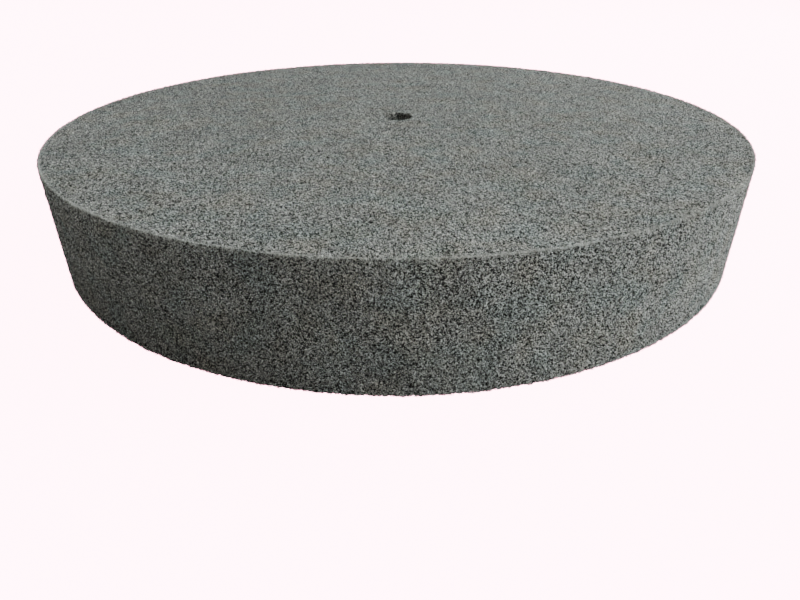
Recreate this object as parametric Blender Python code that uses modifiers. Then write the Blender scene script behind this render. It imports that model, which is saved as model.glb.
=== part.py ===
"""Non-woven polishing wheel of the unitized kind: round plies of abrasive fibre web, pressed and bonded
into one thick disc, then cut to size with a plain bore.

Metres, +Z up. The bore's axis is Z, and the origin is the centre of the bottom face.
"""

import math

import bpy

# Driving dimensions.
WHEEL_DIAMETER = 0.300
WHEEL_WIDTH = 0.045  # from face to face, along the bore
BORE_DIAMETER = 0.014
PLY_COUNT = 21  # about twelve plies to the inch, a hard grade
BOND_GAP = 0.0003  # the cured resin line between one ply and the next
RIM_CORNER_RADIUS = 0.0008  # on the wheel's two outer corners, which handling has rounded
BORE_CORNER_RADIUS = 0.0005  # at the bore's two mouths

# How finely the round shapes are divided.
TURN_STEPS = 64
CORNER_STEPS = 3
MERGE_DISTANCE = 0.00005
SHARP_ANGLE = math.radians(40)

# What the driving dimensions give.
RIM_RADIUS = WHEEL_DIAMETER / 2
BORE_RADIUS = BORE_DIAMETER / 2
PLY_THICKNESS = (WHEEL_WIDTH - (PLY_COUNT - 1) * BOND_GAP) / PLY_COUNT
PLY_PITCH = PLY_THICKNESS + BOND_GAP

WEB_COLOUR = (0.19, 0.20, 0.185, 1.0)
WEB_ROUGHNESS = 0.95


def clear_scene():
    """Removes whatever the scene holds."""
    for item in list(bpy.data.objects):
        bpy.data.objects.remove(item, do_unlink=True)


def make_collection(name):
    """A new collection in the scene."""
    collection = bpy.data.collections.new(name)
    bpy.context.scene.collection.children.link(collection)
    return collection


def make_web_material(name):
    """Grey nylon web with mineral grain in resin: matt all over."""
    material = bpy.data.materials.new(name)
    material.use_nodes = True
    shader = material.node_tree.nodes["Principled BSDF"]
    shader.inputs["Base Color"].default_value = WEB_COLOUR
    shader.inputs["Roughness"].default_value = WEB_ROUGHNESS
    shader.inputs["Metallic"].default_value = 0.0
    return material


def corner(x, z, radius, x_side, z_side):
    """The profile's points at one corner, (x, z), going clockwise: a quarter circle, or one point if it is square.

    x_side and z_side are 1 or -1 and say which of the section's four corners this is.
    """
    if radius == 0:
        return [(x, z)]
    centre_x = x - x_side * radius
    centre_z = z - z_side * radius
    start = {(1, 1): 90, (1, -1): 0, (-1, -1): -90, (-1, 1): 180}[x_side, z_side]
    points = []
    for step in range(CORNER_STEPS + 1):
        angle = math.radians(start - 90 * step / CORNER_STEPS)
        points.append((centre_x + radius * math.cos(angle), centre_z + radius * math.sin(angle)))
    return points


def ply_section(rim_corner, bore_corner):
    """The closed section of a ply that lies on z = 0, clockwise, so that its outer side runs from top to bottom.

    The two radii are those of its upper corners, at the rim and at the bore. Its lower corners are square.
    """
    return (
        corner(RIM_RADIUS, PLY_THICKNESS, rim_corner, 1, 1)
        + corner(RIM_RADIUS, 0, 0, 1, -1)
        + corner(BORE_RADIUS, 0, 0, -1, -1)
        + corner(BORE_RADIUS, PLY_THICKNESS, bore_corner, -1, 1)
    )


def turned_mesh(name, section):
    """The ring that a closed section makes when it is turned about Z."""
    profile = bpy.data.meshes.new(name + "_section")
    count = len(section)
    edges = [(index, (index + 1) % count) for index in range(count)]
    profile.from_pydata([(x, 0, z) for x, z in section], edges, [])
    turned = bpy.data.objects.new(name + "_section", profile)
    bpy.context.scene.collection.objects.link(turned)

    screw = turned.modifiers.new("turn", "SCREW")
    screw.axis = "Z"
    screw.angle = math.radians(360)
    screw.steps = TURN_STEPS
    screw.render_steps = TURN_STEPS
    screw.use_merge_vertices = True
    screw.merge_threshold = MERGE_DISTANCE

    graph = bpy.context.evaluated_depsgraph_get()
    mesh = bpy.data.meshes.new_from_object(turned.evaluated_get(graph))
    mesh.name = name
    mesh.shade_smooth()
    mesh.set_sharp_from_angle(angle=SHARP_ANGLE)
    bpy.data.objects.remove(turned, do_unlink=True)
    bpy.data.meshes.remove(profile)
    return mesh


def add_ply(name, mesh, height, collection, parent, turned_over=False):
    """One ply, with its underside at this height. A ply that is turned over has its rounded corners below."""
    ply = bpy.data.objects.new(name, mesh)
    collection.objects.link(ply)
    ply.parent = parent
    if turned_over:
        ply.rotation_euler = (math.pi, 0, 0)
        ply.location = (0, 0, height + PLY_THICKNESS)
    else:
        ply.location = (0, 0, height)
    return ply


def build():
    """Makes the wheel from the bottom face up."""
    clear_scene()
    wheel = make_collection("polishing_wheel")
    axis = bpy.data.objects.new("bore_axis", None)
    wheel.objects.link(axis)

    web = make_web_material("abrasive_web")
    core_mesh = turned_mesh("core_ply", ply_section(0, 0))
    face_mesh = turned_mesh("face_ply", ply_section(RIM_CORNER_RADIUS, BORE_CORNER_RADIUS))
    for mesh in (core_mesh, face_mesh):
        mesh.materials.append(web)

    add_ply("face_ply_bottom", face_mesh, 0, wheel, axis, turned_over=True)
    for number in range(2, PLY_COUNT):
        height = (number - 1) * PLY_PITCH
        add_ply(f"core_ply_{number:02d}", core_mesh, height, wheel, axis)
    add_ply("face_ply_top", face_mesh, (PLY_COUNT - 1) * PLY_PITCH, wheel, axis)


build()
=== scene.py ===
"""Looks of a thick non-woven polishing wheel: plies of grey fibre web, pressed, bonded and cut to a disc.

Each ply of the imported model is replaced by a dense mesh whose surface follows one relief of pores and
tufts, so that neighbouring plies read as one mass. Loose strands of the web stand out of the faces, the rim,
the corners and the bore. Everything is in metres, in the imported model's own frame: +Z up the bore, the bottom
face on z = 0.
"""

import logging
import math
from dataclasses import dataclass, replace
from enum import Enum

import bpy
import numpy as np
from mathutils import Matrix, Vector


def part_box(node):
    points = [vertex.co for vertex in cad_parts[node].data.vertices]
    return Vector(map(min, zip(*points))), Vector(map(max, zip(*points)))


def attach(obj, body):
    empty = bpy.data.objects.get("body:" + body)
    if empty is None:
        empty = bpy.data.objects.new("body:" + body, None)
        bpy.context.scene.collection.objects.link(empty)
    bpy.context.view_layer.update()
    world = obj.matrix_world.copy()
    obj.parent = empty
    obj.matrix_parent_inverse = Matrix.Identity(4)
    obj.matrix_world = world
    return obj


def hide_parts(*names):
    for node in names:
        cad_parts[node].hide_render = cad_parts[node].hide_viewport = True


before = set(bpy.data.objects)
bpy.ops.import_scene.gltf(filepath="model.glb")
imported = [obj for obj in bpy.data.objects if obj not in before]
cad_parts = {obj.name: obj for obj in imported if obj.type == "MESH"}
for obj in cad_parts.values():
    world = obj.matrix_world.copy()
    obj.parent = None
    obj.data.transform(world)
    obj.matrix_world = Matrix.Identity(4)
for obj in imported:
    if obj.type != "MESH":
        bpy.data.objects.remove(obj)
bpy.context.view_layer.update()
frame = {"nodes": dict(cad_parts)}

LOG = logging.getLogger("polishing_wheel")
MM = 0.001
TURN = 2 * math.pi
BODY = "root"
MAP_NAME = "OFBake"
TINT = "tint"

Array = np.ndarray


# ---- options


class Side(Enum):
    """Which way a flat face of the wheel looks: the sign of its outward normal along Z."""

    TOP = 1
    BOTTOM = -1


class Chart(Enum):
    """The part of a ply's flat map that a strip of its surface is laid on."""

    RIM = "rim"
    FACE = "face"
    HIDDEN_UPPER = "hidden_upper"
    HIDDEN_LOWER = "hidden_lower"
    BORE = "bore"


# ---- random relief


def hashed(cells: Array, seed: int) -> Array:
    """Repeatable random numbers for the cells of a grid.

    Args:
        cells: whole-number cell positions, shape (..., 3).
        seed: chooses one of many unlike sets of numbers.

    Returns:
        Numbers from 0 to 1, shape (...).
    """
    x, y, z = (cells[..., axis].astype(np.uint32) for axis in range(3))
    mixed = x * np.uint32(73856093) ^ y * np.uint32(19349663) ^ z * np.uint32(83492791)
    mixed ^= np.uint32(seed * 2654435761 % 2**32)
    mixed = (mixed ^ (mixed >> np.uint32(15))) * np.uint32(2246822519)
    mixed = (mixed ^ (mixed >> np.uint32(13))) * np.uint32(3266489917)
    return (mixed ^ (mixed >> np.uint32(16))) / 2.0**32


def value_noise(points: Array, cell: float, seed: int) -> Array:
    """Smooth noise through space.

    Args:
        points: positions, shape (n, 3).
        cell: size of the noise's lumps, in the same unit.
        seed: chooses the pattern.

    Returns:
        Heights from -1 to 1, shape (n,).
    """
    scaled = points / cell
    low = np.floor(scaled).astype(np.int64)
    part = scaled - low
    part = part * part * (3 - 2 * part)
    total = np.zeros(len(points))
    for corner in np.ndindex(2, 2, 2):
        corner = np.array(corner)
        weight = np.where(corner, part, 1 - part).prod(axis=1)
        total += weight * hashed(low + corner, seed)
    return 2 * total - 1


def pores(points: Array, spacing: float, radius: float, seed: int) -> Array:
    """Round hollows scattered through space, about one to a cell, of unlike sizes.

    Args:
        points: positions, shape (n, 3).
        spacing: mean distance from one pore to the next.
        radius: radius of the widest pores.
        seed: chooses the pattern.

    Returns:
        Depth from 0, outside every pore, to 1, in the middle of the widest, shape (n,).
    """
    scaled = points / spacing
    home = np.floor(scaled).astype(np.int64)
    deepest = np.zeros(len(points))
    for step in np.ndindex(3, 3, 3):
        cell = home + np.array(step) - 1
        centre = cell + np.stack([hashed(cell, seed + axis) for axis in range(3)], axis=1)
        width = radius / spacing * (0.45 + 0.55 * hashed(cell, seed + 3))
        away = ((scaled - centre) ** 2).sum(axis=1) / width**2
        size = width * spacing / radius
        deepest = np.maximum(deepest, size * np.clip(1 - away, 0, None) ** 0.75)
    return deepest


@dataclass(frozen=True)
class WebRelief:
    """How far the web's surface stands above or below its nominal place. All lengths are in metres."""

    tuft_size: float = 1.7 * MM
    tuft_height: float = 0.22 * MM
    nap_size: float = 0.42 * MM
    nap_height: float = 0.20 * MM
    pore_spacing: float = 1.05 * MM
    pore_radius: float = 0.55 * MM
    pore_depth: float = 0.55 * MM
    small_pore_share: float = 0.55
    small_pore_depth_share: float = 0.45
    sway_size: float = 27 * MM
    sway_height: float = 0.10 * MM

    def height(self, points: Array) -> Array:
        """The relief at these positions.

        Args:
            points: nominal surface positions, shape (n, 3).

        Returns:
            Outward heights in metres, shape (n,).
        """
        tufts = value_noise(points, self.tuft_size, seed=11)
        nap = value_noise(points, self.nap_size, seed=12)
        sway = value_noise(points, self.sway_size, seed=13)
        hollow = pores(points, self.pore_spacing, self.pore_radius, seed=20)
        small = self.small_pore_share
        small_hollow = pores(points, small * self.pore_spacing, small * self.pore_radius, seed=30)
        raised = np.sign(tufts) * np.abs(tufts) ** 1.5 * self.tuft_height
        small_depth = small_hollow * self.small_pore_depth_share * self.pore_depth
        raised = raised + nap * self.nap_height + sway * self.sway_height
        return raised - hollow * self.pore_depth - small_depth


# ---- meshes


@dataclass(frozen=True)
class Ring:
    """One closed ring of points about the bore's axis, before the relief moves them.

    radius and height place it, out and up give the direction the relief moves it in, count is its number of
    points, along is how far round the ply's section it lies, which the flat map uses, and rough is the share
    of the relief that it takes.
    """

    radius: float
    height: float
    out: float
    up: float
    count: int
    along: float
    rough: float = 1.0

    def angles(self) -> Array:
        """The angle of each point, and a last one that closes the ring."""
        return np.arange(self.count + 1) * (TURN / self.count)

    def points(self, relief: WebRelief) -> Array:
        """Puts the relief on the ring.

        Args:
            relief: the web's relief.

        Returns:
            The ring's points, shape (count, 3).
        """
        angle = self.angles()[:-1]
        outward = np.stack([np.cos(angle), np.sin(angle), np.zeros(self.count)], axis=1)
        nominal = outward * self.radius
        nominal[:, 2] = self.height
        if self.rough == 0:
            return nominal
        moved = self.rough * relief.height(nominal)[:, None]
        return nominal + moved * (outward * self.out + np.array([0, 0, self.up]))


@dataclass(frozen=True)
class ChartLayout:
    """Where one chart lies on the flat map: a disc seen from above, or a band unrolled into strips.

    strips is 0 for a disc, whose centre is at left and bottom. strip_pitch is the height of a strip with its
    gap, and reach is its length.
    """

    left: float
    bottom: float
    scale: float
    strips: int = 0
    strip_pitch: float = 0.0
    reach: float = 0.0

    def places(self, radius: Array, angle: Array, along: Array) -> Array:
        """Map places of triangle corners.

        Args:
            radius: each corner's distance from the axis, shape (n, 3).
            angle: each corner's angle, not wrapped inside one triangle, shape (n, 3).
            along: each corner's place along the section, shape (n, 3).

        Returns:
            Map places, shape (n, 3, 2).
        """
        if self.strips == 0:
            across = self.left + self.scale * radius * np.cos(angle)
            upward = self.bottom + self.scale * radius * np.sin(angle)
        else:
            turned = angle * self.strips / TURN
            strip = np.clip(np.floor(turned.mean(axis=1)), 0, self.strips - 1)[:, None]
            across = self.left + self.reach * (turned - strip)
            upward = self.bottom + self.strip_pitch * strip + self.scale * (along - along.min())
        return np.stack([across, upward], axis=-1)


def zipped(lower: Array, upper: Array) -> tuple[Array, Array]:
    """Joins two closed rings of unlike counts with triangles.

    Args:
        lower: ascending angles of the first ring, the last closing it.
        upper: the same for the second ring.

    Returns:
        For each triangle's three corners: which ring, 0 or 1, and the point's place in it, both (n, 3).
    """
    on_upper = np.concatenate([np.zeros(len(lower) - 1, int), np.ones(len(upper) - 1, int)])
    middles = np.concatenate([(lower[:-1] + lower[1:]) / 2, (upper[:-1] + upper[1:]) / 2])
    on_upper = on_upper[np.argsort(middles, kind="stable")]
    at_lower = np.concatenate([[0], np.cumsum(on_upper == 0)])[:-1]
    at_upper = np.concatenate([[0], np.cumsum(on_upper == 1)])[:-1]
    next_place = np.where(on_upper == 1, at_upper + 1, at_lower + 1)
    ring = np.stack([np.zeros_like(on_upper), on_upper, np.ones_like(on_upper)], axis=1)
    place = np.stack([at_lower, next_place, at_upper], axis=1)
    return ring, place


def make_object(
    name: str, points: Array, triangles: Array, places: Array, sharp_points: Array | None = None
) -> bpy.types.Object:
    """A smooth-shaded object from arrays.

    Args:
        name: the piece's name.
        points: vertex positions, shape (n, 3).
        triangles: vertex numbers, shape (m, 3).
        places: flat-map places of each triangle's corners, shape (m, 3, 2).
        sharp_points: which vertices lie on a crease; an edge between two of them is sharp.

    Returns:
        The new object, in the scene.
    """
    mesh = bpy.data.meshes.new(name)
    mesh.vertices.add(len(points))
    mesh.vertices.foreach_set("co", points.astype(np.float32).ravel())
    mesh.loops.add(triangles.size)
    mesh.loops.foreach_set("vertex_index", triangles.astype(np.int32).ravel())
    mesh.polygons.add(len(triangles))
    mesh.polygons.foreach_set("loop_start", np.arange(0, triangles.size, 3, dtype=np.int32))
    mesh.update(calc_edges=True)
    layer = mesh.uv_layers.new(name=MAP_NAME)
    layer.uv.foreach_set("vector", places.astype(np.float32).ravel())
    mesh.shade_smooth()
    if sharp_points is not None:
        ends = np.empty(len(mesh.edges) * 2, np.int32)
        mesh.edges.foreach_get("vertices", ends)
        crease = sharp_points[ends.reshape(-1, 2)].all(axis=1)
        mesh.edges.foreach_set("use_edge_sharp", crease)
    piece = bpy.data.objects.new(name, mesh)
    bpy.context.scene.collection.objects.link(piece)
    return piece


@dataclass(frozen=True)
class WheelSizes:
    """The whole wheel's sizes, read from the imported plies."""

    rim_radius: float
    bore_radius: float
    bottom: float
    top: float
    plies: tuple[str, ...]

    @classmethod
    def from_frame(cls, nodes: dict[str, bpy.types.Object]) -> "WheelSizes":
        """Reads the sizes.

        Args:
            nodes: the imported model's objects by node name.

        Returns:
            The wheel's sizes, with its plies from the bottom face up.
        """
        order = sorted(nodes, key=lambda node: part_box(node)[0].z)
        from_axis = [math.hypot(v.co.x, v.co.y) for v in nodes[order[1]].data.vertices]
        bottom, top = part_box(order[0])[0].z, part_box(order[-1])[1].z
        return cls(max(from_axis), min(from_axis), bottom, top, tuple(order))


@dataclass
class Ply:
    """One ply of the pressed web, as a closed ring whose rim, bore and outer face carry the relief.

    row and face_step are the spacings of its points, calm_reach is how far from the bore the web is smoother,
    and hidden_inset is how far inside the rim and the bore a covered face goes over into a plain one.
    """

    node: str
    low: float
    high: float
    sizes: WheelSizes
    relief: WebRelief
    face: Side | None = None
    rim_columns: int = 3600
    bore_columns: int = 150
    row: float = 0.27 * MM
    face_step: float = 0.52 * MM
    corner: float = 0.4 * MM
    corner_rows: int = 2
    bore_rough: float = 0.45
    calm_reach: float = 5 * MM
    hidden_inset: float = 3 * MM
    hidden_columns: int = 360

    def roughness(self, radius: float) -> float:
        """The share of the relief at this radius: a drill left the web smoother near the bore."""
        away = min(1.0, (radius - self.sizes.bore_radius) / self.calm_reach)
        return self.bore_rough + (1 - self.bore_rough) * away

    def wall(self, radius: float, columns: int, out: int) -> list[Ring]:
        """Rings up a round wall and, if the ply has an open face, over its rounded upper corner.

        Args:
            radius: the wall's radius.
            columns: points to a ring.
            out: 1 if it faces away from the axis, -1 if it faces the axis.

        Returns:
            The rings, from the lowest up.
        """
        size = self.corner if self.face else 0.0
        rise = self.high - size - self.low
        rough = self.roughness(radius)
        steps = np.linspace(0, rise, max(2, round(rise / self.row)) + 1)
        rings = [Ring(radius, self.low + step, out, 0, columns, step, rough) for step in steps]
        for number in range(1, self.corner_rows if self.face else 1):
            angle = number / self.corner_rows * math.pi / 2
            across, upward = math.cos(angle), math.sin(angle)
            place = radius - out * size * (1 - across), self.high - size * (1 - upward)
            rings.append(Ring(*place, out * across, upward, columns, steps[-1] + size * angle, rough))
        return rings

    def open_face(self, rim: float, bore: float, start: float) -> list[Ring]:
        """Rings of the outer face.

        Args:
            rim: the radius it starts from.
            bore: the radius it ends at.
            start: how far along the section it starts.

        Returns:
            The rings, from the rim's corner in to the bore's.
        """
        steps = round((rim - bore) / self.face_step)
        rings = []
        for radius in np.linspace(rim, bore, steps + 1):
            count = max(self.bore_columns, round(TURN * radius / self.face_step))
            rings.append(Ring(radius, self.high, 0, 1, count, start, self.roughness(radius)))
        return rings

    def covered_face(self, height: float) -> list[Ring]:
        """Rings of a face that the next ply covers.

        Args:
            height: the face's height.

        Returns:
            The rings, from near the rim in towards the bore.
        """
        rim, bore = self.sizes.rim_radius, self.sizes.bore_radius
        radii = (rim - self.hidden_inset, (rim + bore) / 2, bore + self.hidden_inset)
        counts = (self.hidden_columns, self.hidden_columns // 2, self.bore_columns)
        return [Ring(radius, height, 0, 0, count, 0, rough=0) for radius, count in zip(radii, counts)]

    def section(self) -> tuple[list[Ring], list[Chart]]:
        """The ply as a closed loop of rings: up the rim, in over the upper face, down the bore, back below.

        Returns:
            The rings, and the chart of the strip from each ring to the next, the last one closing the loop.
        """
        rim, bore = self.sizes.rim_radius, self.sizes.bore_radius
        up_rim = self.wall(rim, self.rim_columns, 1)
        up_bore = self.wall(bore, self.bore_columns, -1)
        if self.face:
            rim_end = up_rim[-1].along + self.corner * math.pi / 2 / self.corner_rows
            across = self.open_face(rim - self.corner, bore + self.corner, rim_end)
        else:
            across = self.covered_face(self.high)
        back = self.covered_face(self.low)[::-1]
        rings = up_rim + across + up_bore[::-1] + back
        charts = [Chart.RIM] * (len(up_rim) - 1)
        upper = Chart.FACE if self.face else Chart.HIDDEN_UPPER
        charts += [Chart.RIM if self.face else upper] + [upper] * (len(across) - 1)
        charts += [Chart.BORE if self.face else upper] + [Chart.BORE] * (len(up_bore) - 1)
        charts += [Chart.HIDDEN_LOWER] * (len(back) + 1)
        return rings, charts

    def layouts(self) -> dict[Chart, ChartLayout]:
        """Lays the ply's charts on a flat map that is 1 wide and 1 high.

        Returns:
            Where each chart lies.
        """
        left, foot, strip_width, strip_gap = 0.01, 0.004, 0.98, 1.08
        around = TURN * self.sizes.rim_radius
        around_bore = TURN * self.sizes.bore_radius
        strips = 8 if self.face else 16
        scale = strip_width * strips / around
        pitch = scale * (self.high - self.low) * strip_gap
        rim = ChartLayout(left, foot, scale, strips, pitch, strip_width)
        above_rim = foot + strips * pitch
        across = 2 * self.sizes.rim_radius
        if self.face:
            bore_width, open_disc, hidden_disc = 0.165, 0.78, 0.17
            bore = ChartLayout(0.82, above_rim + 0.01, bore_width / around_bore, 1, 0, bore_width)
            open_face = ChartLayout(0.402, above_rim + 0.395, open_disc / across)
            hidden = ChartLayout(0.905, above_rim + 0.2, hidden_disc / across)
            return {Chart.RIM: rim, Chart.BORE: bore, Chart.FACE: open_face, Chart.HIDDEN_LOWER: hidden}
        bore = ChartLayout(left, above_rim, scale, 1, 0, scale * around_bore)
        disc = 0.31
        middle = above_rim + pitch + disc / 2
        upper = ChartLayout(0.17, middle, disc / across)
        lower = ChartLayout(0.50, middle, disc / across)
        return {Chart.RIM: rim, Chart.BORE: bore, Chart.HIDDEN_UPPER: upper, Chart.HIDDEN_LOWER: lower}

    def build(self) -> bpy.types.Object:
        """Makes the ply, turned over if its open face is the bottom one.

        Returns:
            The ply's object.
        """
        rings, charts = self.section()
        layouts = self.layouts()
        first = np.concatenate([[0], np.cumsum([ring.count for ring in rings])])
        flip = self.face is Side.BOTTOM
        if flip:
            rings = [replace(ring, height=self.low + self.high - ring.height, up=-ring.up) for ring in rings]
        points = np.concatenate([ring.points(self.relief) for ring in rings])
        triangles, places = [], []
        for number, chart in enumerate(charts):
            after = (number + 1) % len(rings)
            pair = (rings[number], rings[after])
            on, at = zipped(pair[0].angles(), pair[1].angles())
            counts = np.array([ring.count for ring in pair])
            triangles.append(first[[number, after]][on] + at % counts[on])
            radius = np.array([ring.radius for ring in pair])[on]
            along = np.array([ring.along for ring in pair])[on]
            places.append(layouts[chart].places(radius, at * TURN / counts[on], along))
        triangles = np.concatenate(triangles)
        creased = [chart is not charts[number - 1] for number, chart in enumerate(charts)]
        if self.face:
            creased = [False] * len(rings)
        creased[0] = True
        creased[len(rings) - len(self.covered_face(0)) - 1] = True
        sharp = np.repeat(creased, [ring.count for ring in rings])
        if not flip:
            triangles = triangles[:, ::-1]
            places = [part[:, ::-1] for part in places]
        return make_object(self.node, points, triangles, np.concatenate(places), sharp)


class Zone(Enum):
    """The part of the wheel's surface that a field of loose strands stands on."""

    TOP_FACE = "top_face"
    TOP_CORNER = "top_corner"
    RIM_UPPER = "rim_upper"
    RIM_LOWER = "rim_lower"
    BOTTOM_CORNER = "bottom_corner"
    BOTTOM_FACE = "bottom_face"
    BORE = "bore"


@dataclass(frozen=True)
class LooseStrands:
    """Short curled strands of the web that stand proud of one zone of the surface. Lengths are in metres.

    lift is how far a strand rises, sunk how deep its ends lie, and deepest_dip how far it follows a pore.
    Round a corner of this radius the strands spread by corner_spread, and bore_margin keeps those of a face
    clear of the bore.
    """

    zone: Zone
    count: int
    sizes: WheelSizes
    relief: WebRelief
    seed: int
    shortest: float = 0.9 * MM
    longest: float = 2.6 * MM
    thinnest: float = 0.05 * MM
    thickest: float = 0.09 * MM
    lift: float = 0.30 * MM
    sunk: float = 0.06 * MM
    deepest_dip: float = 0.15 * MM
    corner: float = 0.4 * MM
    corner_spread: float = 1.0 * MM
    bore_margin: float = 2.5 * MM
    free_end_share: float = 0.35
    free_end_rise: float = 1.6
    most_bow: float = 1.1
    most_wave: float = 0.12
    tip_thinning: float = 0.65
    links: int = 5
    sides: int = 3

    def roots(self, dice: np.random.Generator) -> tuple[Array, Array]:
        """Where the strands stand, and which way is out there.

        Args:
            dice: the source of random numbers.

        Returns:
            Nominal surface points and unit normals, both (count, 3).
        """
        first, second = dice.random(self.count), dice.random(self.count)
        angle = TURN * dice.random(self.count)
        rim, bore = self.sizes.rim_radius, self.sizes.bore_radius
        low, high = self.sizes.bottom, self.sizes.top
        upward = 1 if self.zone in (Zone.TOP_FACE, Zone.TOP_CORNER) else -1
        plane = high if upward == 1 else low
        if self.zone in (Zone.TOP_FACE, Zone.BOTTOM_FACE):
            inner, outer = bore + self.bore_margin, rim - self.corner
            radius = np.sqrt(inner**2 + (outer**2 - inner**2) * first)
            height = np.full(self.count, plane)
            tilt = np.full(self.count, upward * math.pi / 2)
        elif self.zone in (Zone.TOP_CORNER, Zone.BOTTOM_CORNER):
            bend = first * math.pi / 2
            slide = self.corner_spread * second**2
            on_face = bend > math.pi / 4
            radius = rim - self.corner * (1 - np.cos(bend)) - np.where(on_face, slide, 0)
            depth = self.corner * (1 - np.sin(bend)) + np.where(on_face, 0, slide)
            height = plane - upward * depth
            tilt = upward * bend
        elif self.zone is Zone.BORE:
            radius = np.full(self.count, bore)
            height = low + (high - low) * (0.06 + 0.88 * first)
            tilt = np.full(self.count, math.pi)
        else:
            middle = (low + high) / 2
            start, end = (middle, high) if self.zone is Zone.RIM_UPPER else (low, middle)
            radius = np.full(self.count, rim)
            height = start + (end - start) * first
            tilt = np.zeros(self.count)
        points = np.stack([radius * np.cos(angle), radius * np.sin(angle), height], axis=1)
        flat = np.cos(tilt)
        normals = np.stack([flat * np.cos(angle), flat * np.sin(angle), np.sin(tilt)], axis=1)
        return points, normals

    def centre_lines(self, dice: np.random.Generator) -> tuple[Array, Array]:
        """The strands' centre-lines: bowed along the surface, sunk at one end or both.

        Args:
            dice: the source of random numbers.

        Returns:
            Points, shape (count, links + 1, 3), and each strand's outward normal, shape (count, 3).
        """
        roots, normals = self.roots(dice)
        aside = np.cross(normals, dice.normal(size=(self.count, 3)))
        aside /= np.linalg.norm(aside, axis=1, keepdims=True)
        ahead = np.cross(aside, normals)
        step = np.linspace(-0.5, 0.5, self.links + 1)[None, :, None]
        length = self.shortest + (self.longest - self.shortest) * dice.random(self.count) ** 1.5
        length = length[:, None, None]
        bow = dice.uniform(-self.most_bow, self.most_bow, self.count)[:, None, None]
        wave = dice.uniform(-self.most_wave, self.most_wave, self.count)[:, None, None]
        across = length * (bow * (step**2 - 0.08) + wave * np.sin(TURN * step))
        spread = ahead[:, None] * length * step + aside[:, None] * across
        nominal = roots[:, None] + spread
        ground = self.relief.height(nominal.reshape(-1, 3)).reshape(self.count, self.links + 1, 1)
        ground = np.maximum(ground, -self.deepest_dip)
        arch = 4 * (step + 0.5) * (0.5 - step)
        rising = (step + 0.5) ** 1.5
        is_free = (dice.random(self.count) < self.free_end_share)[:, None, None]
        lift = self.lift * dice.uniform(0.3, 1.0, self.count)[:, None, None]
        up = ground - self.sunk + lift * np.where(is_free, self.free_end_rise * rising, arch)
        return nominal + normals[:, None] * up, normals

    def map_places(self) -> Array:
        """Lays the strands on a flat map, with one cell of a square grid to each.

        Returns:
            Map places of every triangle's corners, shape (n, 3, 2).
        """
        cells = math.ceil(math.sqrt(self.count))
        margin, used = 0.1, 0.8
        along = margin + used * np.arange(self.links + 1) / self.links
        around = margin + used * np.arange(self.sides + 1) / self.sides
        cell = []
        for link in range(self.links):
            for side in range(self.sides):
                near, far = along[link], along[link + 1]
                left, right = around[side], around[side + 1]
                cell += [[near, left], [far, left], [far, right], [near, left], [far, right], [near, right]]
        tip = margin / 2
        cell += [[0, 0], [0, tip], [tip, 0], [1, 1], [1, 1 - tip], [1 - tip, 1]]
        number = np.arange(self.count)
        corner = np.stack([number % cells, number // cells], axis=1)
        return ((corner[:, None] + np.array(cell)) / cells).reshape(-1, 3, 2)

    def triangles(self) -> Array:
        """Every strand's closed tube.

        Returns:
            Vertex numbers, shape (n, 3).
        """
        tube = []
        for link in range(self.links):
            for side in range(self.sides):
                here, after = link * self.sides, (link + 1) * self.sides
                left, right = side, (side + 1) % self.sides
                tube.append([here + left, after + left, after + right])
                tube.append([here + left, after + right, here + right])
        last = self.links * self.sides
        tube += [[0, 1, 2], [last, last + 2, last + 1]]
        first = np.arange(self.count) * (last + self.sides)
        return (first[:, None, None] + np.array(tube)).reshape(-1, 3)

    def build(self) -> bpy.types.Object:
        """Makes the strands, with a random tint for each.

        Returns:
            The field's object.
        """
        dice = np.random.default_rng(self.seed)
        lines, normals = self.centre_lines(dice)
        forward = np.gradient(lines, axis=1)
        forward /= np.linalg.norm(forward, axis=2, keepdims=True)
        aside = np.cross(forward, normals[:, None])
        aside /= np.linalg.norm(aside, axis=2, keepdims=True)
        upright = np.cross(aside, forward)
        taper = 1 - self.tip_thinning * np.abs(np.linspace(-1, 1, self.links + 1)) ** 4
        radius = dice.uniform(self.thinnest, self.thickest, self.count)[:, None] * taper
        turn = TURN * np.arange(self.sides) / self.sides
        ring = aside[:, :, None] * np.cos(turn)[:, None] + upright[:, :, None] * np.sin(turn)[:, None]
        points = lines[:, :, None] + ring * radius[:, :, None, None]
        name = self.zone.value + "_strands"
        piece = make_object(name, points.reshape(-1, 3), self.triangles(), self.map_places())
        tint = np.repeat(dice.random(self.count) ** 0.7, (self.links + 1) * self.sides)
        attribute = piece.data.attributes.new(TINT, "FLOAT", "POINT")
        attribute.data.foreach_set("value", tint.astype(np.float32))
        return piece


# ---- shader nodes


Tree = bpy.types.NodeTree
Socket = bpy.types.NodeSocket
Feed = Socket | float | tuple
Feeds = dict[str | int, Feed]
Outputs = bpy.types.bpy_prop_collection


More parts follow.
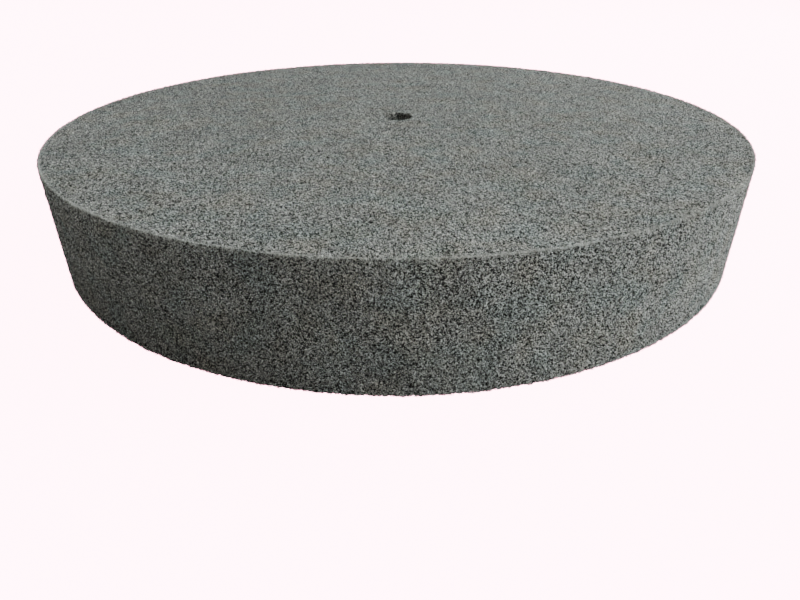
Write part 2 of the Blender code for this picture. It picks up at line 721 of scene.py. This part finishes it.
class NodeSheet:
    """A node tree with short ways to add nodes and join them. A feed is a socket or a value."""

    def __init__(self, tree: Tree) -> None:
        """Wraps a tree, which keeps the nodes it has."""
        self.tree = tree

    def add(self, kind: str, inputs: Feeds | None = None, **settings: object) -> bpy.types.Node:
        """Adds a node.

        Args:
            kind: the node's type name, less its leading ShaderNode.
            inputs: a value or a socket for each input, by name or number.
            **settings: the node's own properties.

        Returns:
            The node.
        """
        node = self.tree.nodes.new("ShaderNode" + kind)
        for name, value in settings.items():
            setattr(node, name, value)
        self.fill(node, inputs or {})
        return node

    def fill(self, node: bpy.types.Node, inputs: Feeds) -> None:
        """Feeds a node's inputs, by name or number."""
        for name, value in inputs.items():
            self.feed(node.inputs[name], value)

    def feed(self, socket: Socket, value: Feed) -> None:
        """Links a socket to another one, or sets its value.

        Args:
            socket: the input.
            value: what feeds it.
        """
        if isinstance(value, Socket):
            self.tree.links.new(value, socket)
        else:
            socket.default_value = value

    def math(self, operation: str, first: Feed, second: Feed = 0.0) -> Socket:
        """The result of one Math node."""
        return self.add("Math", {0: first, 1: second}, operation=operation).outputs[0]

    def vector(self, operation: str, inputs: Feeds) -> Socket:
        """The vector that one Vector Math node puts out."""
        return self.add("VectorMath", inputs, operation=operation).outputs["Vector"]

    def length(self, vector: Feed) -> Socket:
        """The length of a vector."""
        return self.add("VectorMath", {0: vector}, operation="LENGTH").outputs["Value"]

    def rise(self, value: Feed, low: Feed, high: Feed, bottom: float = 0.0, top: float = 1.0) -> Socket:
        """A smooth rise from bottom to top as value goes from low to high."""
        inputs = {"Value": value, "From Min": low, "From Max": high, "To Min": bottom, "To Max": top}
        return self.add("MapRange", inputs, interpolation_type="SMOOTHSTEP").outputs["Result"]

    def blend(self, share: Feed, first: Feed, second: Feed, way: str = "MIX") -> Socket:
        """Two colours mixed.

        Args:
            share: the second colour's weight, from 0 to 1.
            first: the first colour.
            second: the second colour.
            way: how they mix.

        Returns:
            The mixed colour.
        """
        node = self.add("Mix", data_type="RGBA", blend_type=way)
        colours = [socket for socket in node.inputs if socket.type == "RGBA"]
        self.feed(node.inputs["Factor"], share)
        self.feed(colours[0], first)
        self.feed(colours[1], second)
        return next(socket for socket in node.outputs if socket.type == "RGBA")

    def millimetres(self) -> Socket:
        """The place on the object in millimetres."""
        return self.vector("SCALE", {0: self.add("TexCoord").outputs["Object"], "Scale": 1 / MM})

    def parts(self, colour: Feed) -> Outputs:
        """The three channels of a colour."""
        return self.add("SeparateColor", {0: colour}).outputs

    def group(self, tree: Tree, **inputs: Feed) -> Outputs:
        """The outputs of a node group that is fed these inputs."""
        return self.add("Group", inputs, node_tree=tree).outputs

    def noise(self, vector: Feed, scale: float, detail: float = 2.0, roughness: float = 0.5) -> Outputs:
        """A noise texture whose lumps are about 1 / scale across."""
        inputs = {"Vector": vector, "Scale": scale, "Detail": detail, "Roughness": roughness}
        return self.add("TexNoise", inputs).outputs


class GroupSheet(NodeSheet):
    """A new shader node group. given holds its inputs, and put_out fills its outputs, which are numbers."""

    def __init__(self, name: str, inputs: dict[str, float | None], outputs: tuple[str, ...]) -> None:
        """Starts the group.

        Args:
            name: the group's name.
            inputs: each input's default value, or None for a vector.
            outputs: the outputs' names.
        """
        super().__init__(bpy.data.node_groups.new(name, "ShaderNodeTree"))
        new_socket = self.tree.interface.new_socket
        for label, value in inputs.items():
            kind = "NodeSocketVector" if value is None else "NodeSocketFloat"
            socket = new_socket(label, in_out="INPUT", socket_type=kind)
            if value is not None:
                socket.default_value = value
        for label in outputs:
            new_socket(label, in_out="OUTPUT", socket_type="NodeSocketFloat")
        self.given = self.tree.nodes.new("NodeGroupInput").outputs
        self.leave = self.tree.nodes.new("NodeGroupOutput")

    def put_out(self, **values: Socket) -> Tree:
        """Fills the outputs, and returns the finished group."""
        self.fill(self.leave, values)
        return self.tree


def fibre_web_group() -> Tree:
    """A tangle of curled strands, in three layers that cross, with open pores between them.

    Inputs are the position in millimetres, the distance between strands, and a strand's half width, as a
    step of the noise that draws it. Outputs are masks of the strands, dimmed in the deeper layers as painted
    shade, and of the pores, where the finish paints shade, and the height of both together.

    Returns:
        The group.
    """
    inputs = {"Position": None, "Spacing": 1.0, "Width": 0.05}
    sheet = GroupSheet("fibre_web", inputs, ("Strands", "Pores", "Height"))
    given = sheet.given
    per_spacing = sheet.math("DIVIDE", 1.0, given["Spacing"])
    place = sheet.vector("SCALE", {0: given["Position"], "Scale": per_spacing})
    full_width = sheet.math("MULTIPLY", given["Width"], 0.45)
    light = None
    # Painted shade: each deeper layer of strands is dimmed, to 0.8 and then 0.6 of the top one.
    layers = ((1.0, (1.0, 0.8, 1.2)), (0.8, (0.8, 1.2, 1.0)), (0.6, (1.2, 1.0, 0.8)))
    for layer, (shaded_brightness, stretch) in enumerate(layers):
        shift = tuple(17.3 * (layer + 1) * part for part in stretch)
        laid = sheet.vector("MULTIPLY_ADD", {0: place, 1: stretch, 2: shift})
        parts = sheet.parts(sheet.noise(laid, 1.0, detail=1.0, roughness=0.4)["Color"])
        away = sheet.math("ABSOLUTE", sheet.math("SUBTRACT", parts[0], 0.5))
        curl = sheet.rise(away, given["Width"], full_width)
        shown = sheet.rise(parts[1], 0.50, 0.53, 0.0, shaded_brightness)
        strand = sheet.math("MULTIPLY", curl, shown)
        light = strand if light is None else sheet.math("MAXIMUM", light, strand)
    tangle = sheet.noise(place, 1.6, roughness=0.7)["Fac"]
    # The pores' mask: where the finish paints the open pores near black as shade. It also sinks the height.
    pore = sheet.math("MULTIPLY", sheet.rise(tangle, 0.55, 0.47), sheet.rise(light, 0.5, 0.1))
    height = sheet.math("SUBTRACT", light, sheet.math("MULTIPLY", pore, 1.2))
    return sheet.put_out(Strands=light, Pores=pore, Height=height)


def mineral_grain_group() -> Tree:
    """Abrasive grain caught in the resin: masks of the light grains and of the dark ones, and their height.

    Returns:
        The group.
    """
    sheet = GroupSheet("mineral_grain", {"Position": None, "Size": 0.2}, ("Light", "Dark", "Height"))
    per_size = sheet.math("DIVIDE", 1.0, sheet.given["Size"])
    place = sheet.vector("SCALE", {0: sheet.given["Position"], "Scale": per_size})
    cells = sheet.add("TexVoronoi", {"Vector": place, "Scale": 1.0})
    parts = sheet.parts(cells.outputs["Color"])
    light, dark = sheet.rise(parts[0], 0.85, 0.90), sheet.rise(parts[0], 0.42, 0.28)
    height = sheet.math("SUBTRACT", parts[1], cells.outputs["Distance"])
    return sheet.put_out(Light=light, Dark=dark, Height=height)


def tone_drift_group() -> Tree:
    """Slow changes of tone over the web: brownish patches, cool patches and lighter or darker ones.

    Returns:
        The group.
    """
    sheet = GroupSheet("tone_drift", {"Position": None}, ("Warm", "Cool", "Lift"))
    place = sheet.given["Position"]
    parts = sheet.parts(sheet.noise(place, 1 / 13)["Color"])
    broad = sheet.noise(place, 1 / 24, detail=3.0, roughness=0.65)["Fac"]
    warm, cool = sheet.rise(parts[0], 0.46, 0.68), sheet.rise(parts[1], 0.46, 0.68)
    return sheet.put_out(Warm=warm, Cool=cool, Lift=sheet.rise(broad, 0.25, 0.75, -1.0, 1.0))


def fray_highlight_group() -> Tree:
    """A light band along the wheel's corners: pale fibre ends that the knife left, with a painted highlight
    where they catch the light.

    Inputs are the position, the radius and height of a corner, and how far from it the fraying reaches, all
    in millimetres.

    Returns:
        The group.
    """
    inputs = {"Position": None, "Radius": 150.0, "Height": 45.0, "Reach": 0.9}
    sheet = GroupSheet("fray_highlight", inputs, ("Fray",))
    given = sheet.given
    parts = sheet.add("SeparateXYZ", {0: given["Position"]})
    flat = sheet.add("CombineXYZ", {0: parts.outputs[0], 1: parts.outputs[1]})
    out = sheet.math("SUBTRACT", sheet.length(flat.outputs[0]), given["Radius"])
    up = sheet.math("SUBTRACT", parts.outputs[2], given["Height"])
    both = sheet.add("CombineXYZ", {0: out, 1: up})
    share = sheet.math("DIVIDE", sheet.length(both.outputs[0]), given["Reach"])
    ragged = sheet.noise(given["Position"], 0.9, detail=3.0, roughness=0.65)["Fac"]
    stretch = sheet.noise(given["Position"], 0.045, detail=1.0)["Fac"]
    ragged_edge_shift = sheet.math("ADD", sheet.math("MULTIPLY", ragged, 1.4), sheet.math("MULTIPLY", stretch, 1.6))
    return sheet.put_out(Fray=sheet.rise(sheet.math("ADD", share, ragged_edge_shift), 2.1, 1.5))


@dataclass(frozen=True)
class Groups:
    """The shader node groups that the finishes share."""

    web: Tree
    grain: Tree
    drift: Tree
    # The painted highlight along the cut corners.
    corner: Tree

    @classmethod
    def make(cls) -> "Groups":
        """Builds every group once."""
        return cls(fibre_web_group(), mineral_grain_group(), tone_drift_group(), fray_highlight_group())


Colour = tuple[float, float, float, float]


def new_material(name: str) -> tuple[bpy.types.Material, NodeSheet, bpy.types.Node]:
    """Starts a material.

    Args:
        name: its name.

    Returns:
        The material, its sheet and its Principled BSDF.
    """
    material = bpy.data.materials.new(name)
    material.use_nodes = True
    tree = material.node_tree
    return material, NodeSheet(tree), tree.nodes["Principled BSDF"]


@dataclass(frozen=True)
class WebFinish:
    """Grey abrasive web: resin-coated body, open pores in painted shade, light strands that are partly a
    painted highlight, mineral grain, a painted highlight along the cut corners, and slow drifts of tone.

    spacing, grain_size and fray_inset are in millimetres, as the node groups take them.
    """

    name: str = "abrasive_web"
    body: Colour = (0.044, 0.048, 0.044, 1)
    # Painted shade: the near-black colour of the web's open pores.
    pore: Colour = (0.005, 0.005, 0.005, 1)
    # Pale fibre colour of the strands, raised near white as a painted highlight.
    strand: Colour = (0.92, 0.95, 0.91, 1)
    light_grain: Colour = (0.94, 0.95, 0.94, 1)
    dark_grain: Colour = (0.010, 0.010, 0.010, 1)
    # Pale cut fibre ends along the corners, brightened as a painted highlight.
    frayed_highlight: Colour = (0.90, 0.92, 0.88, 1)
    warm: Colour = (1.0, 0.965, 0.92, 1)
    cool: Colour = (0.925, 0.99, 1.0, 1)
    spacing: float = 0.64
    strand_width: float = 0.051
    grain_size: float = 0.24
    dark_share: float = 0.9
    light_share: float = 0.8
    tone_swing: float = 0.10
    fray_inset: float = 0.5
    body_roughness: float = 0.96
    strand_roughness: float = 0.68
    grain_relief: float = 0.25
    specular: float = 0.3
    bump_depth: float = 0.5 * MM

    def make(self, groups: Groups, sizes: WheelSizes) -> bpy.types.Material:
        """Builds the material.

        Args:
            groups: the shared node groups.
            sizes: the wheel's sizes, which place the cut corners and their painted highlight.

        Returns:
            The material.
        """
        material, sheet, shader = new_material(self.name)
        place = sheet.millimetres()
        web = sheet.group(groups.web, Position=place, Spacing=self.spacing, Width=self.strand_width)
        grain = sheet.group(groups.grain, Position=place, Size=self.grain_size)
        drift = sheet.group(groups.drift, Position=place)

        dark = sheet.math("MULTIPLY", grain["Dark"], self.dark_share)
        colour = sheet.blend(dark, self.body, self.dark_grain)
        # The strands: their pale colour, partly a painted highlight.
        colour = sheet.blend(web["Strands"], colour, self.strand)
        # Painted shade: the open pores are painted near black.
        colour = sheet.blend(web["Pores"], colour, self.pore)
        light = sheet.math("MULTIPLY", grain["Light"], self.light_share)
        colour = sheet.blend(light, colour, self.light_grain)
        # Painted highlight along both corners, over the pale cut fibre ends, kept mostly to the raised web.
        exposed = sheet.rise(web["Height"], -1.1, 0.3, 0.35, 0.95)
        radius = sizes.rim_radius / MM - self.fray_inset
        for height in (sizes.top, sizes.bottom):
            corner = sheet.group(groups.corner, Position=place, Radius=radius, Height=height / MM)
            colour = sheet.blend(sheet.math("MULTIPLY", corner["Fray"], exposed), colour, self.frayed_highlight)
        colour = sheet.blend(drift["Warm"], colour, self.warm, "MULTIPLY")
        colour = sheet.blend(drift["Cool"], colour, self.cool, "MULTIPLY")
        tone = sheet.math("ADD", 1.0, sheet.math("MULTIPLY", drift["Lift"], self.tone_swing))
        sheet.feed(shader.inputs["Base Color"], sheet.vector("SCALE", {0: colour, "Scale": tone}))

        rough = sheet.rise(web["Strands"], 0.0, 1.0, self.body_roughness, self.strand_roughness)
        sheet.feed(shader.inputs["Roughness"], rough)
        height = sheet.math("ADD", web["Height"], sheet.math("MULTIPLY", grain["Height"], self.grain_relief))
        bump = sheet.add("Bump", {"Height": height, "Strength": 1.0, "Distance": self.bump_depth})
        sheet.feed(shader.inputs["Normal"], bump.outputs["Normal"])
        shader.inputs["Specular IOR Level"].default_value = self.specular
        return material


@dataclass(frozen=True)
class StrandFinish:
    """Loose nylon strands: pale, crusted here and there with resin and grain, each unlike the next."""

    name: str = "loose_strand"
    pale: Colour = (0.80, 0.83, 0.79, 1)
    dull: Colour = (0.30, 0.31, 0.29, 1)
    crust: Colour = (0.06, 0.06, 0.056, 1)
    crust_share: float = 0.6
    clean_roughness: float = 0.42
    crust_roughness: float = 0.9
    grain_size: float = 0.22
    bump_depth: float = 0.03 * MM

    def make(self, groups: Groups) -> bpy.types.Material:
        """Builds the material.

        Args:
            groups: the shared node groups.

        Returns:
            The material.
        """
        material, sheet, shader = new_material(self.name)
        tint = sheet.add("Attribute", attribute_name=TINT).outputs["Fac"]
        grain = sheet.group(groups.grain, Position=sheet.millimetres(), Size=self.grain_size)
        colour = sheet.blend(tint, self.dull, self.pale)
        colour = sheet.blend(sheet.math("MULTIPLY", grain["Dark"], self.crust_share), colour, self.crust)
        sheet.feed(shader.inputs["Base Color"], colour)
        rough = sheet.rise(grain["Dark"], 0.0, 1.0, self.clean_roughness, self.crust_roughness)
        sheet.feed(shader.inputs["Roughness"], rough)
        bump = sheet.add("Bump", {"Height": grain["Height"], "Distance": self.bump_depth})
        sheet.feed(shader.inputs["Normal"], bump.outputs["Normal"])
        return material


# ---- studio


@dataclass(frozen=True)
class SoftLight:
    """A square light: where it stands, its side in metres, its power in watts and its colour."""

    name: str
    place: tuple[float, float, float]
    side: float
    power: float
    colour: tuple[float, float, float]

    def make(self, target: Vector) -> None:
        """Adds the light to the scene.

        Args:
            target: the point that it looks at.
        """
        data = bpy.data.lights.new(self.name, "AREA")
        data.shape = "SQUARE"
        data.size = self.side
        data.energy = self.power
        data.color = self.colour
        lamp = bpy.data.objects.new(self.name, data)
        lamp.location = self.place
        lamp.rotation_mode = "QUATERNION"
        lamp.rotation_quaternion = (target - Vector(self.place)).to_track_quat("-Z", "Y")
        bpy.context.scene.collection.objects.link(lamp)


@dataclass
class Studio:
    """The pale floor, the soft lights and the camera.

    The camera looks down by pitch. From the middle of the upper face it stands back, down and to the side by
    the last three shares of the wheel's radius, in its own axes.
    """

    sizes: WheelSizes
    floor_radius: float = 12.0
    floor_corners: int = 64
    floor_gap: float = 0.3 * MM
    floor_colour: Colour = (0.86, 0.85, 0.855, 1)
    glow_colour: Colour = (1, 0.44, 0.58, 1)
    floor_glow: float = 18.0
    backdrop_glow: float = 18.6
    ambient_colour: Colour = (1.0, 0.945, 0.87, 1)
    ambient: float = 0.20
    soft_lights: tuple[SoftLight, ...] = (
        SoftLight("key_light", (1.26, -0.25, 0.62), 0.8, 25, (0.97, 1.0, 0.985)),
        SoftLight("overhead_light", (0.80, 0.65, 0.85), 0.9, 11, (0.97, 1.0, 0.97)),
        SoftLight("fill_light", (-1.2, 0.9, 0.55), 0.8, 4.5, (0.70, 0.85, 1.0)),
        SoftLight("side_light", (-1.12, 0.30, 0.14), 0.6, 2.9, (1.0, 0.95, 0.84)),
    )
    lens: float = 27.57
    pitch: float = math.radians(30.24)
    roll: float = math.radians(-0.19)
    ahead: float = 1.911
    below: float = 0.573
    aside: float = -0.008

    def floor(self) -> None:
        """A wide round floor under the wheel. The glow, which only the camera sees, keeps it pale."""
        mesh = bpy.data.meshes.new("studio_floor")
        angles = [TURN * step / self.floor_corners for step in range(self.floor_corners)]
        rim = [(self.floor_radius * math.cos(turn), self.floor_radius * math.sin(turn), 0) for turn in angles]
        mesh.from_pydata(rim, [], [list(range(self.floor_corners))])
        floor = bpy.data.objects.new("studio_floor", mesh)
        floor.location.z = self.sizes.bottom - self.floor_gap
        bpy.context.scene.collection.objects.link(floor)
        material, sheet, _ = new_material("studio_floor")
        sheet.tree.nodes.clear()
        seen = sheet.add("LightPath").outputs["Is Camera Ray"]
        diffuse = sheet.add("BsdfDiffuse", {"Color": self.floor_colour})
        glow = sheet.add("Emission", {"Color": self.glow_colour, "Strength": self.floor_glow})
        lit = sheet.add("AddShader", {0: diffuse.outputs[0], 1: glow.outputs[0]})
        mixed = sheet.add("MixShader", {0: seen, 1: diffuse.outputs[0], 2: lit.outputs[0]})
        sheet.add("OutputMaterial", {"Surface": mixed.outputs[0]})
        mesh.materials.append(material)

    def world(self) -> None:
        """Even light from all round, and a pale backdrop for what the camera sees past the floor."""
        world = bpy.data.worlds.new("studio")
        bpy.context.scene.world = world
        world.use_nodes = True
        sheet = NodeSheet(world.node_tree)
        world.node_tree.nodes.clear()
        seen = sheet.add("LightPath").outputs["Is Camera Ray"]
        ambient = {"Color": self.ambient_colour, "Strength": self.ambient}
        glow = {"Color": self.glow_colour, "Strength": self.backdrop_glow}
        light, backdrop = (sheet.add("Background", inputs) for inputs in (ambient, glow))
        mixed = sheet.add("MixShader", {0: seen, 1: light.outputs[0], 2: backdrop.outputs[0]})
        sheet.add("OutputWorld", {"Surface": mixed.outputs[0]})

    def camera(self) -> None:
        """The camera, which looks down at the wheel from close in front of it."""
        data = bpy.data.cameras.new("camera")
        data.lens = self.lens
        data.sensor_width = 36
        data.clip_start = 0.01
        data.clip_end = 100
        camera = bpy.data.objects.new("camera", data)
        forward = Vector((0, math.cos(self.pitch), -math.sin(self.pitch)))
        up = Vector((0, math.sin(self.pitch), math.cos(self.pitch)))
        right = Vector((1, 0, 0))
        reach = self.sizes.rim_radius
        face_centre = Vector((0, 0, self.sizes.top))
        place = face_centre - reach * (self.ahead * forward + self.aside * right + self.below * up)
        turn = Matrix((right, up, -forward)).transposed().to_4x4()
        camera.matrix_world = Matrix.Translation(place) @ turn @ Matrix.Rotation(self.roll, 4, "Z")
        bpy.context.scene.collection.objects.link(camera)
        bpy.context.scene.camera = camera

    def build(self) -> None:
        """Makes the whole studio."""
        self.floor()
        self.world()
        for light in self.soft_lights:
            light.make(Vector((0, 0, self.sizes.top)))
        self.camera()


# ---- the wheel


@dataclass
class PolishingWheel:
    """The stack of plies, with the loose strands that stand out of it."""

    sizes: WheelSizes
    relief: WebRelief
    strand_counts: tuple[tuple[Zone, int], ...] = (
        (Zone.TOP_FACE, 6200),
        (Zone.TOP_CORNER, 3600),
        (Zone.RIM_UPPER, 4200),
        (Zone.RIM_LOWER, 4200),
        (Zone.BOTTOM_CORNER, 2400),
        (Zone.BOTTOM_FACE, 3000),
        (Zone.BORE, 90),
    )

    def spans(self) -> list[tuple[str, float, float]]:
        """Shares the wheel's width among the plies, so that neighbours meet halfway through the bond.

        Returns:
            Each ply's node, with the heights of its underside and its upper side.
        """
        boxes = [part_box(node) for node in self.sizes.plies]
        edges = [self.sizes.bottom]
        edges += [(below[1].z + above[0].z) / 2 for below, above in zip(boxes, boxes[1:])]
        edges.append(self.sizes.top)
        return list(zip(self.sizes.plies, edges, edges[1:]))

    def face_of(self, node: str) -> Side | None:
        """The open face of a ply, or None for a ply inside the stack."""
        return {self.sizes.plies[0]: Side.BOTTOM, self.sizes.plies[-1]: Side.TOP}.get(node)

    def add_strands(self, material: bpy.types.Material) -> None:
        """Makes the loose strands of every zone.

        Args:
            material: the strands' finish.
        """
        for number, (zone, count) in enumerate(self.strand_counts):
            strands = LooseStrands(zone, count, self.sizes, self.relief, seed=100 + number).build()
            strands.data.materials.append(material)
            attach(strands, BODY)
            LOG.info("%s: %d strands", strands.name, count)

    def add_plies(self, material: bpy.types.Material) -> None:
        """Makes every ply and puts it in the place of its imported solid.

        Args:
            material: the web's finish.
        """
        for node, low, high in self.spans():
            ply = Ply(node + "_web", low, high, self.sizes, self.relief, self.face_of(node)).build()
            ply.data.materials.append(material)
            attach(ply, BODY)
            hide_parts(node)
            count = len(ply.data.polygons)
            LOG.info("%s: %d triangles, z %.2f to %.2f mm", ply.name, count, low / MM, high / MM)


def main() -> None:
    """Builds the wheel and its studio."""
    logging.basicConfig(level=logging.INFO, format="%(name)s %(message)s")
    sizes = WheelSizes.from_frame(frame["nodes"])
    groups = Groups.make()
    wheel = PolishingWheel(sizes, WebRelief())
    wheel.add_plies(WebFinish().make(groups, sizes))
    wheel.add_strands(StrandFinish().make(groups))
    Studio(sizes).build()


if __name__ == "__main__":
    main()
